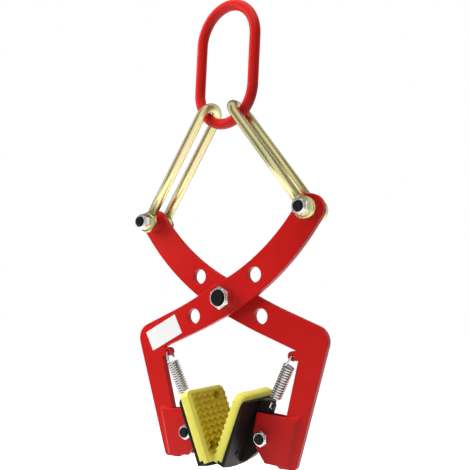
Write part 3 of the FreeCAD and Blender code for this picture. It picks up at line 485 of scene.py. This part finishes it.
for side_name, side in SIDES.items():
    for end_name, out_y in (("front", -1), ("rear", 1)):
        node = f"fork_plate_{side_name}_{end_name}"
        softened(node, RED_PAINT, FORK_EDGE)
        ramp = weld_ramp(side, out_y * LEG_HALF, out_y)
        ramp.transform(Matrix.Translation(JOINT_AT[f"jaw_{side_name}_turn"]))
        weld_name = f"fork_weld_{side_name}_{end_name}"
        weld = place_piece(weld_name, ramp, RED_PAINT, BODY_OF[node])
        weld.data.set_sharp_from_angle(angle=SHARP_TURN)
    softened(f"jaw_nut_{side_name}", BRIGHT_ZINC, JAW_BOLT_EDGE)
    softened(f"jaw_bolt_{side_name}", BLACK_OXIDE, JAW_BOLT_EDGE)
    coat(f"jaw_nut_insert_{side_name}", BLACK_NYLON)


# Jaws: a bent backing plate with a lip under the pad, and a web welded on its back.
# They are coated in a satin black with a brown cast.
COAT_BLACK = (0.009, 0.007, 0.006)
COAT_BROWN = (0.018, 0.014, 0.012)
JAW_EDGE = 0.7 * MM


def black_coat():
    cloud_scale, gloss_scale, grain_scale, grain_height = 40.0, 120.0, 700.0, 0.05 * MM
    material, tree, shader = new_finish("black_coat", 0.44, gloss=0.12)
    tint(tree, shader, noise(tree, cloud_scale, 4.0), COAT_BLACK, COAT_BROWN)
    patchy_gloss(tree, shader, noise(tree, gloss_scale), 0.36, 0.5)
    relief(tree, shader, noise(tree, grain_scale, 3.0), grain_height, 0.5)
    return material


BLACK_COAT = black_coat()
for side_name in SIDES:
    softened(f"jaw_plate_{side_name}", BLACK_COAT, JAW_EDGE)
    softened(f"jaw_web_{side_name}", BLACK_COAT, JAW_EDGE)


# Grip pads: yellow polyurethane moulded with zigzag ribs, each held on its plate by two screws.
# The ribs run out at one edge and leave a plain border at the other, and painted shade darkens the face inside the
# borders.
JAW_TILT = 21.5
PAD_TOP = 41.0 * MM
PAD_FOOT = -36.8 * MM
PAD_NOSE_FOOT = -40.5 * MM
PAD_WIDTH = 75.0 * MM
PAD_BACK = 24.7 * MM
LIP_FRONT = 29.7 * MM
PAD_FACE = 35.2 * MM
PAD_ROUND = 7.0 * MM
PAD_EDGE = 0.9 * MM
RIB_HEIGHT = 1.7 * MM
RIB_ROWS = 10
RIB_WAVES = 6
RIB_ZONE = 70.0 * MM
RIB_MARGIN = 0.2 * MM
RIB_BORDER = 8.0 * MM
RIB_WIDTH_SHARE = 0.24
RIB_WAVE_SHARE = 0.44
RIB_FLANK = 2.2 * MM
RIB_END = 0.6 * MM
SCREW_PLACES = ((19.0 * MM, 29.0 * MM), (-19.0 * MM, -25.0 * MM))
SCREW_RECESS = 5.8 * MM
SCREW_RECESS_FLOOR = 26.5 * MM
SCREW_RECESS_SNAP = 0.3 * MM
PAD_SCREW_EDGE = 0.5 * MM
PAD_YELLOW = (0.90, 0.84, 0.15)
PAD_AMBER = (0.84, 0.76, 0.12)
# Painted shade: darker olive and amber that stand in for the shade on the grip face, not the pad's own colour.
GRIP_SHADE_OLIVE = (0.50, 0.38, 0.016)
GRIP_SHADE_AMBER = (0.58, 0.45, 0.022)
# Widths of the borders kept free of the painted shade, and the fade into it.
UNSHADED_BORDER = 6.0 * MM
UNSHADED_TOP = 2.5 * MM
SHADE_FADE = 3.0 * MM


def polyurethane():
    """Moulded yellow, with painted shade that darkens the ribbed face inside its borders."""
    cloud_scale, worn_scale, gloss_scale, grain_scale = 70.0, 90.0, 200.0, 900.0
    grain_height = 0.06 * MM
    material, tree, shader = new_finish("polyurethane", 0.46, gloss=0.2)
    tint(tree, shader, noise(tree, cloud_scale, 4.0), PAD_AMBER, PAD_YELLOW, PAD_YELLOW)
    own_yellow = shader.inputs["Base Color"].links[0].from_socket
    # Painted shade: the darker colours of the grip face, mixed over the pad's own yellow by the painted-shade
    # weight.
    tint(tree, shader, noise(tree, worn_scale, 4.0), GRIP_SHADE_OLIVE, GRIP_SHADE_AMBER)
    shaded_grip = shader.inputs["Base Color"].links[0].from_socket
    grip_shade = tree.nodes.new("ShaderNodeAttribute")
    grip_shade.attribute_name = "grip_shade"
    mix = tree.nodes.new("ShaderNodeMixRGB")
    tree.links.new(grip_shade.outputs["Fac"], mix.inputs["Fac"])
    tree.links.new(own_yellow, mix.inputs["Color1"])
    tree.links.new(shaded_grip, mix.inputs["Color2"])
    tree.links.new(mix.outputs["Color"], shader.inputs["Base Color"])
    patchy_gloss(tree, shader, noise(tree, gloss_scale), 0.38, 0.55)
    relief(tree, shader, noise(tree, grain_scale, 3.0), grain_height, 0.5)
    return material


def rib_height(y, z, side):
    """Height of the ribs over the pad's face, with sloped flanks and rounded crests."""
    near_gap, far_gap = (RIB_MARGIN, RIB_BORDER) if side > 0 else (RIB_BORDER, RIB_MARGIN)
    first, last = -PAD_WIDTH / 2 + near_gap, PAD_WIDTH / 2 - far_gap
    pitch = RIB_ZONE / RIB_ROWS
    half = RIB_WIDTH_SHARE * pitch / 2
    wave = RIB_WAVE_SHARE * pitch / 2
    ends = (min(y - first, last - y) + RIB_END / 2) / RIB_END
    ends = min(1.0, max(0.0, ends))
    run = (y - first) / (last - first) * 2 * RIB_WAVES
    zigzag = wave * (1 - 2 * abs((run % 2) - 1))
    best = 0.0
    for row in range(RIB_ROWS):
        level = (row + 0.5) * pitch - RIB_ZONE / 2 + zigzag
        share = (half + RIB_FLANK / 2 - abs(z - level)) / RIB_FLANK
        share = min(1.0, max(0.0, share))
        best = max(best, share * share * (3 - 2 * share))
    return RIB_HEIGHT * best * ends


def pad_half_width(z):
    """Half the pad's width at a height, narrower where its upper corners are rounded."""
    over = max(0.0, z - (PAD_TOP - PAD_EDGE - PAD_ROUND))
    full = PAD_WIDTH / 2 - PAD_EDGE
    return full - PAD_ROUND + math.sqrt(max(0.0, PAD_ROUND ** 2 - over ** 2))


def pad_mesh(side):
    """The moulded block: a ribbed face, rounded edges, and a step in its foot for the plate's lip."""
    columns, rows = 150, 176
    low, high = PAD_NOSE_FOOT + PAD_EDGE, PAD_TOP - PAD_EDGE
    levels = [low + (high - low) * row / rows for row in range(rows + 1)]
    step_row = min(range(rows + 1), key=lambda row: abs(levels[row] - PAD_FOOT))
    levels[step_row] = PAD_FOOT
    bm = bmesh.new()
    grip_shade = bm.verts.layers.float.new("grip_shade")
    grid = []
    for z in levels:
        half = pad_half_width(z)
        line = []
        for column in range(columns + 1):
            y = half * (2 * column / columns - 1)
            point = Vector((0, y, z))
            x = PAD_FACE + rib_height(y, z, side)
            for centre in SCREW_PLACES:
                middle = Vector((0, *centre))
                away = (point - middle).length
                if abs(away - SCREW_RECESS) < SCREW_RECESS_SNAP:
                    point = middle + (point - middle) * (SCREW_RECESS / away)
                elif away < SCREW_RECESS:
                    x = SCREW_RECESS_FLOOR
            vertex = bm.verts.new((-side * x, point.y, point.z))
            # Painted shade weight: zero within a border of the pad's edges, one on the ribbed face, with a short
            # fade between.
            edge_gap = min(PAD_WIDTH / 2 - side * y - UNSHADED_BORDER, PAD_TOP - z - UNSHADED_TOP,
                           z - PAD_NOSE_FOOT - UNSHADED_BORDER)
            vertex[grip_shade] = min(1.0, max(0.0, edge_gap / SHADE_FADE))
            line.append(vertex)
        grid.append(line)
    for low, high in zip(grid, grid[1:]):
        for column in range(columns):
            bm.faces.new((low[column], low[column + 1], high[column + 1], high[column]))
    far_rim = [line[-1] for line in grid[1:]]
    near_rim = [line[0] for line in grid[-2:0:-1]]
    rim = grid[0] + far_rim + grid[-1][-2::-1] + near_rim
    around = []
    for index, vertex in enumerate(rim):
        along = rim[(index + 1) % len(rim)].co - rim[index - 1].co
        around.append(Vector((0, along.z, -along.y)).normalized())
    loops = [rim]
    for quarter in (1, 2, 3):
        turn = math.pi / 6 * quarter
        loop = []
        for vertex, out in zip(rim, around):
            depth = side * PAD_EDGE * (1 - math.cos(turn))
            rounded = out * PAD_EDGE * math.sin(turn) + Vector((depth, 0, 0))
            loop.append(bm.verts.new(vertex.co + rounded))
        loops.append(loop)
    loops.append([bm.verts.new((-side * LIP_FRONT, v.co.y, v.co.z)) for v in loops[-1]])
    join_rings(bm, loops)

    # The step: the foot of the block ends higher behind the lip's front.
    ledge = loops[-1]
    right_end, left_end = columns + step_row, len(ledge) - step_row
    inside = [bm.verts.new((v.co.x, v.co.y, PAD_FOOT)) for v in ledge[1:columns]]
    bm.faces.new(ledge[left_end:] + ledge[:right_end + 1] + inside[::-1])
    rear = [ledge[left_end]] + inside + ledge[right_end:left_end]
    out_rear = [around[0]] + around[1:columns] + around[right_end:left_end]
    behind = [bm.verts.new((-side * (PAD_BACK + PAD_EDGE / 2), v.co.y, v.co.z)) for v in rear]
    last = []
    for vertex, out in zip(rear, out_rear):
        inset = out * PAD_EDGE / 2
        last.append(bm.verts.new((-side * PAD_BACK, vertex.co.y - inset.y, vertex.co.z - inset.z)))
    join_rings(bm, [rear, behind, last])
    bm.faces.new(last)
    return bm


POLYURETHANE = polyurethane()
for side_name, side in SIDES.items():
    jaw_axes = Matrix.Translation(JOINT_AT[f"jaw_{side_name}_turn"])
    jaw_axes = jaw_axes @ Matrix.Rotation(math.radians(side * JAW_TILT), 4, "Y")
    block = pad_mesh(side)
    block.transform(jaw_axes)
    pad = place_piece(f"grip_pad_{side_name}_moulded", block, POLYURETHANE, f"jaw_{side_name}")
    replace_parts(pad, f"grip_pad_{side_name}")
    softened(f"pad_screws_{side_name}", BLACK_OXIDE, PAD_SCREW_EDGE)


# Springs: one bright wire each, wound with narrow gaps between the turns and a hook at both ends.
# The upper hook hangs in the arm's eye and the lower one in the jaw's web.
WIRE_RADIUS = 1.24 * MM
SPRING_RADIUS = 5.8 * MM
SPRING_TURNS = 13
HOOK_RADIUS = 5.7 * MM
HOOK_RISE = 8.5 * MM
HOOK_BITE = 1.1 * MM
ARM_EYE = (83.5 * MM, -65.0 * MM)
WEB_HOLE = (-5.6 * MM, 32.0 * MM)
STEEL_GREY = (0.48, 0.48, 0.49)
STEEL_BRIGHT = (0.60, 0.60, 0.59)


def spring_steel():
    cloud_scale, grain_scale, grain_height = 260.0, 1800.0, 0.01 * MM
    material, tree, shader = new_finish("spring_steel", 0.22, metallic=1.0)
    tint(tree, shader, noise(tree, cloud_scale), STEEL_GREY, STEEL_BRIGHT)
    relief(tree, shader, noise(tree, grain_scale, 2.0), grain_height, 0.3)
    return material


def half_spring(length):
    """Points along the upper half of the wire, from the middle of the coil to the hook's end."""
    steps_per_turn, lead_steps, hook_steps, hook_end, pull_share = 28, 12, 26, 215, 1.1
    half_coil = length / 2 - HOOK_RADIUS - HOOK_RISE
    sweep = math.pi * SPRING_TURNS + math.pi / 4
    rise = half_coil / sweep
    count = round(sweep / (2 * math.pi) * steps_per_turn)
    points = []
    for index in range(count + 1):
        turn = sweep * index / count
        x, y = SPRING_RADIUS * math.cos(turn), SPRING_RADIUS * math.sin(turn)
        points.append(Vector((x, y, rise * turn)))
    leave = points[-1]
    leaving = Vector((-leave.y, leave.x, rise)).normalized()
    turn_side = 1 if leave.y > 0 else -1
    middle = half_coil + HOOK_RISE
    arrive = Vector((0, turn_side * HOOK_RADIUS, middle))
    pull = pull_share * (arrive - leave).length
    for index in range(1, lead_steps):
        t = index / lead_steps
        points.append(leave * (2 * t ** 3 - 3 * t ** 2 + 1) + leaving * pull * (t ** 3 - 2 * t ** 2 + t)
                      + arrive * (3 * t ** 2 - 2 * t ** 3) + Vector((0, 0, pull)) * (t ** 3 - t ** 2))
    for index in range(hook_steps + 1):
        turn = math.radians(hook_end * index / hook_steps)
        y, z = turn_side * HOOK_RADIUS * math.cos(turn), middle + HOOK_RADIUS * math.sin(turn)
        points.append(Vector((0, y, z)))
    return points


SPRING_STEEL = spring_steel()
for side_name, side in SIDES.items():
    jaw_at = JOINT_AT[f"jaw_{side_name}_turn"]
    jaw_turn = Matrix.Rotation(math.radians(side * JAW_TILT), 4, "Y")
    hole = jaw_at + jaw_turn @ Vector((side * WEB_HOLE[0], 0, WEB_HOLE[1]))
    arm_eye = JOINT_AT["arms_open"] + Vector((side * ARM_EYE[0], 0, ARM_EYE[1]))
    arm_eye.y = jaw_at.y
    reach = arm_eye - hole
    upper = half_spring(reach.length + 2 * HOOK_BITE)
    lower = [Vector((point.x, -point.y, -point.z)) for point in upper[:0:-1]]
    lean = Matrix.Rotation(math.atan2(reach.x, reach.z), 4, "Y")
    axes = Matrix.Translation((arm_eye + hole) / 2) @ lean
    wire = wire_mesh([axes @ point for point in lower + upper], WIRE_RADIUS)
    spring = place_piece(f"spring_{side_name}_wound", wire, SPRING_STEEL, None)
    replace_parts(spring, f"spring_{side_name}")
    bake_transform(spring)


# Studio: a pale floor well under the tongs, a white surround, and soft lights from left, top and rear.
# Grey cards that only mirrors see give the bright metal something to mirror.
FLOOR_BELOW = 0.22
FLOOR_SIZE = 30.0
FLOOR_GREY = (0.80, 0.80, 0.80)
FLOOR_LIFT = 0.92
CARD_GREY = (0.30, 0.29, 0.26)
CARD_PALE = (0.34, 0.33, 0.30)
CARD_CLOUD = 5.0
AMBIENT = 0.11
KEY_POWER = 11.6
KEY_SIZE = 0.8
TOP_POWER = 15.0
TOP_SIZE = 1.2
REAR_POWER = 9.0
REAR_SIZE = 0.9


def background_rays(tree):
    """One where a ray comes from the camera, a mirror or clear material."""
    path = tree.nodes.new("ShaderNodeLightPath")
    total = None
    for output in ("Is Camera Ray", "Is Glossy Ray", "Is Transmission Ray"):
        if total is None:
            total = path.outputs[output]
            continue
        larger = tree.nodes.new("ShaderNodeMath")
        larger.operation = "MAXIMUM"
        tree.links.new(total, larger.inputs[0])
        tree.links.new(path.outputs[output], larger.inputs[1])
        total = larger.outputs["Value"]
    return total


scene = bpy.context.scene
scene.view_settings.view_transform = "Standard"
world = bpy.data.worlds.new("white_surround")
scene.world = world
world.use_nodes = True
sky = world.node_tree
surround = sky.nodes["Background"]
surround.inputs["Color"].default_value = (1.0, 1.0, 1.0, 1.0)
strength = sky.nodes.new("ShaderNodeMapRange")
strength.inputs["To Min"].default_value = AMBIENT
strength.inputs["To Max"].default_value = 1.0
sky.links.new(background_rays(sky), strength.inputs["Value"])
sky.links.new(strength.outputs["Result"], surround.inputs["Strength"])


def stage_plane(name, size, matrix):
    """A flat rectangle of the studio, which isn't part of the tongs."""
    bm = bmesh.new()
    bmesh.ops.create_grid(bm, x_segments=1, y_segments=1, size=0.5)
    bm.transform(matrix @ Matrix.Diagonal((size[0], size[1], 1.0, 1.0)))
    mesh = bpy.data.meshes.new(name)
    bm.to_mesh(mesh)
    bm.free()
    plane = bpy.data.objects.new(name, mesh)
    scene.collection.objects.link(plane)
    return plane


floor_level = cad_low.z - FLOOR_BELOW
floor = stage_plane("floor", (FLOOR_SIZE, FLOOR_SIZE), Matrix.Translation((0, 0, floor_level)))
floor_paint, floor_tree, floor_shader = new_finish("pale_floor", 0.9, gloss=0.0)
floor_shader.inputs["Base Color"].default_value = (*FLOOR_GREY, 1.0)
floor_shader.inputs["Emission Color"].default_value = (1.0, 1.0, 1.0, 1.0)
lift = floor_tree.nodes.new("ShaderNodeMapRange")
lift.inputs["To Min"].default_value = 0.0
lift.inputs["To Max"].default_value = FLOOR_LIFT
floor_tree.links.new(background_rays(floor_tree), lift.inputs["Value"])
floor_tree.links.new(lift.outputs["Result"], floor_shader.inputs["Emission Strength"])
floor.data.materials.append(floor_paint)

middle = (cad_low + cad_high) / 2


def aimed(position, target):
    """A place that looks from a position to a target along its own -Z."""
    turn = (target - position).to_track_quat("-Z", "Y")
    return Matrix.Translation(position) @ turn.to_matrix().to_4x4()


for lamp_name, power, lamp_size, offset in (
        ("window_light", KEY_POWER, KEY_SIZE, Vector((-0.76, -0.46, 0.40))),
        ("top_light", TOP_POWER, TOP_SIZE, Vector((0.20, -0.25, 1.10))),
        ("rear_light", REAR_POWER, REAR_SIZE, Vector((-0.55, 0.90, 0.25)))):
    lamp_data = bpy.data.lights.new(lamp_name, "AREA")
    lamp_data.energy = power
    lamp_data.shape = "SQUARE"
    lamp_data.size = lamp_size
    lamp = bpy.data.objects.new(lamp_name, lamp_data)
    lamp.matrix_world = aimed(middle + offset, middle)
    lamp.visible_glossy = False
    scene.collection.objects.link(lamp)

card_paint, card_tree, card_shader = new_finish("grey_card", 1.0, gloss=0.0)
tint(card_tree, card_shader, noise(card_tree, CARD_CLOUD), CARD_GREY, CARD_PALE)
for card_name, offset, size in (("card_left", Vector((-0.70, -1.0, 0.0)), (1.0, 7.0)),
                                ("card_right", Vector((1.1, 0.1, 0.0)), (1.7, 7.0)),
                                ("card_back", Vector((-1.0, 1.6, 0.0)), (3.4, 7.0))):
    card = stage_plane(card_name, size, aimed(middle + offset, middle))
    card.data.materials.append(card_paint)
    card.visible_camera = False
    card.visible_diffuse = False
    card.visible_shadow = False

# Camera: at the height of the pivot, right of the front, as fitted on the holes, nuts and corners.
# Its place is given from the pivot, and its lens in pixels of a square picture.
CAMERA_OFFSET = Vector((0.4324, -0.6666, -0.0035))
CAMERA_AZIMUTH = 32.30
CAMERA_ELEVATION = -5.59
CAMERA_ROLL = -0.50
FOCAL_PIXELS = 670.7
IMAGE_PIXELS = 470
SENSOR_WIDTH = 36.0
camera_data = bpy.data.cameras.new("camera")
camera_data.sensor_width = SENSOR_WIDTH
camera_data.lens = FOCAL_PIXELS / IMAGE_PIXELS * SENSOR_WIDTH
azimuth, elevation, roll = (math.radians(a) for a in (CAMERA_AZIMUTH, CAMERA_ELEVATION, CAMERA_ROLL))
back = Vector((math.sin(azimuth) * math.cos(elevation), -math.cos(azimuth) * math.cos(elevation),
               math.sin(elevation)))
level = Vector((math.cos(azimuth), math.sin(azimuth), 0))
upright = back.cross(level)
right = level * math.cos(roll) + upright * math.sin(roll)
up = upright * math.cos(roll) - level * math.sin(roll)
camera = bpy.data.objects.new("camera", camera_data)
camera.matrix_world = (Matrix.Translation(JOINT_AT["arms_open"] + CAMERA_OFFSET)
                       @ Matrix((right, up, back)).transposed().to_4x4())
scene.collection.objects.link(camera)
scene.camera = camera
